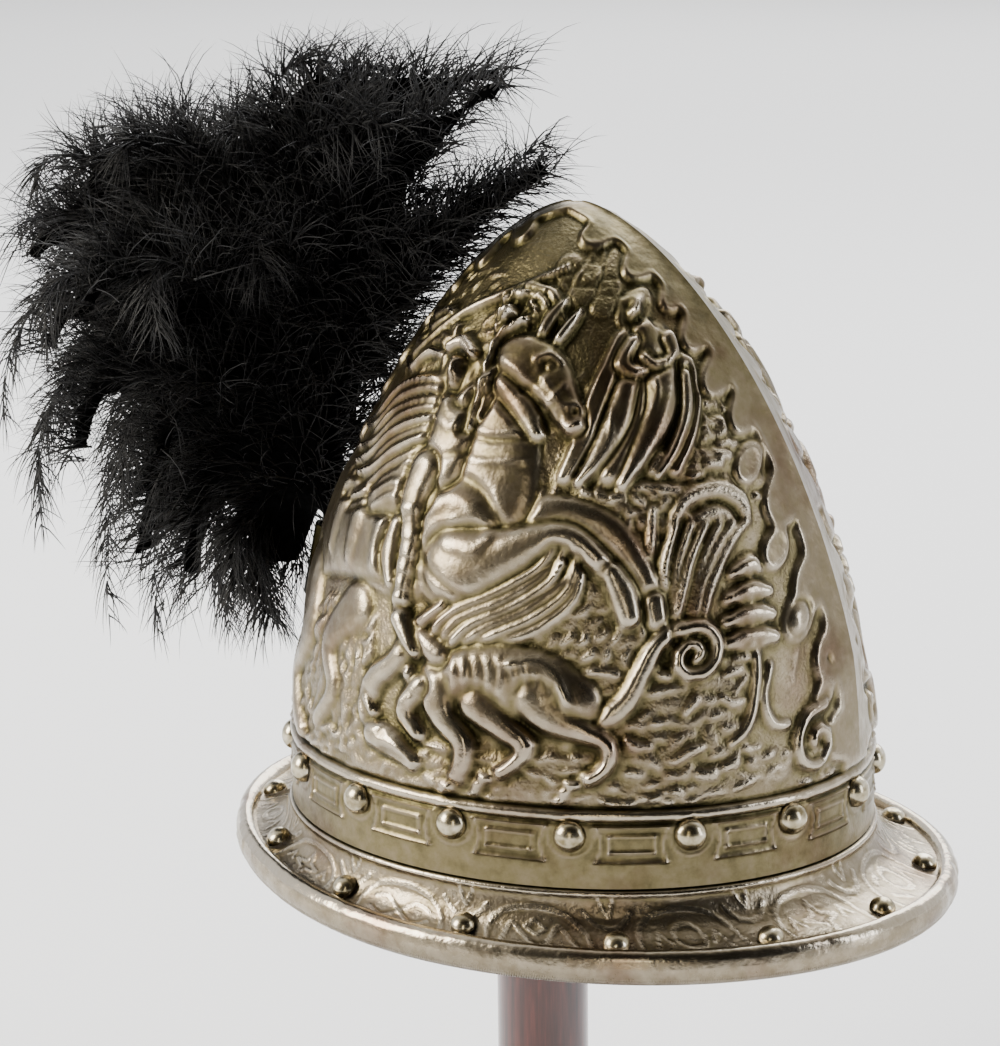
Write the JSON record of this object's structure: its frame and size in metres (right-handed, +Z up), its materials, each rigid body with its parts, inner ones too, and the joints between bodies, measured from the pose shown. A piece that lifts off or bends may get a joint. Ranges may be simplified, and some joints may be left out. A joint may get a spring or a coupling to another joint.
{
  "type": "cabasset helmet with plume on a wooden post stand",
  "caption": "Pointed metal helmet with a medial ridge, cast relief on both sides, riveted base band, rolled brim and black feather plume, resting on a turned wooden post stand.",
  "frame": {"origin": "middle of the flat underside of the stand's foot, on the surface that it stands on", "axes": "+X is the front of the helmet, +Y its left side as worn, +Z up along the post"},
  "size_m": [0.4027, 0.237, 0.4781],
  "materials": {
    "helmet_metal": "polished white brass with olive and brown tarnish in the recesses",
    "rivet_metal": "polished white brass, worn bright",
    "feather": "soft black ostrich feather",
    "wood": "dark red-brown stain under gloss varnish"
  },
  "bodies": {
    "root": {"skull": "helmet_metal", "brim": "helmet_metal", "band_rivet_01": "rivet_metal", "band_rivet_02": "rivet_metal", "band_rivet_03": "rivet_metal", "band_rivet_04": "rivet_metal", "band_rivet_05": "rivet_metal", "band_rivet_06": "rivet_metal", "band_rivet_07": "rivet_metal", "band_rivet_08": "rivet_metal", "band_rivet_09": "rivet_metal", "band_rivet_10": "rivet_metal", "band_rivet_11": "rivet_metal", "band_rivet_12": "rivet_metal", "band_rivet_13": "rivet_metal", "band_rivet_14": "rivet_metal", "band_rivet_15": "rivet_metal", "band_rivet_16": "rivet_metal", "brim_rivet_01": "rivet_metal", "brim_rivet_02": "rivet_metal", "brim_rivet_03": "rivet_metal", "brim_rivet_04": "rivet_metal", "brim_rivet_05": "rivet_metal", "brim_rivet_06": "rivet_metal", "brim_rivet_07": "rivet_metal", "brim_rivet_08": "rivet_metal", "brim_rivet_09": "rivet_metal", "brim_rivet_10": "rivet_metal", "brim_rivet_11": "rivet_metal", "brim_rivet_12": "rivet_metal", "brim_rivet_13": "rivet_metal", "brim_rivet_14": "rivet_metal", "plume_socket": "helmet_metal", "plume": "feather", "stand_head": "wood", "stand_post": "wood", "stand_base": "wood"}
  },
  "joints": []
}
